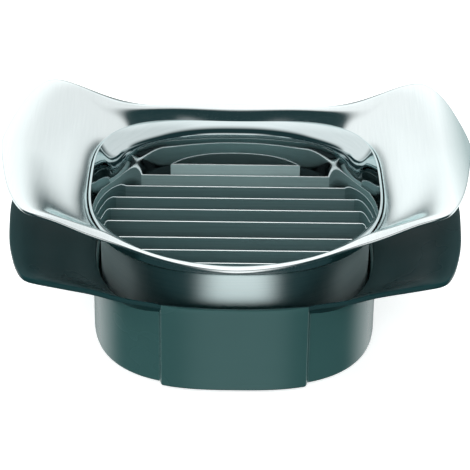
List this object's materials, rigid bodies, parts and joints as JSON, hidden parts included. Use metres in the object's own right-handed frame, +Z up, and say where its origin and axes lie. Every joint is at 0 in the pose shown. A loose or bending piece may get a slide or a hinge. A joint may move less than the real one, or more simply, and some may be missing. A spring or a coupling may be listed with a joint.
{
  "type": "egg slicer",
  "caption": "Hand slicer: pressed steel blade frame with two swept wing handles and parallel blades, standing in a dark plastic base cup with a matching winged tray.",
  "frame": {"origin": "centre of the resting face of the base, level with the table", "axes": "+X from the left handle to the right handle, along the blades; +Y away from the viewer; +Z up, the way the blade frame lifts off"},
  "size_m": [0.148, 0.1134, 0.0606],
  "materials": {
    "plate_steel": "satin polished stainless steel",
    "ring_steel": "polished stainless steel",
    "blade_steel": "satin blades with ground edges",
    "tray_plastic": "dark satin plastic",
    "cup_plastic": "fine satin plastic",
    "insert_plastic": "matt plastic",
    "grip_rubber": "matt"
  },
  "bodies": {
    "base": {"base_cup": "cup_plastic", "base_wing_tray": "tray_plastic", "rib_insert": "insert_plastic", "grip_ring": "grip_rubber"},
    "blade_frame": {"steel_wing_plate": "plate_steel", "blade_ring": "ring_steel", "blade_01": "blade_steel", "blade_02": "blade_steel", "blade_03": "blade_steel", "blade_04": "blade_steel", "blade_05": "blade_steel", "blade_06": "blade_steel", "blade_07": "blade_steel", "blade_08": "blade_steel", "blade_09": "blade_steel", "blade_10": "blade_steel", "blade_11": "blade_steel"}
  },
  "joints": [
    {"name": "frame_lift", "type": "slide", "parent": "base", "child": "blade_frame", "axis": [0, 0, 1], "range_m": [0, 0.06]}
  ]
}
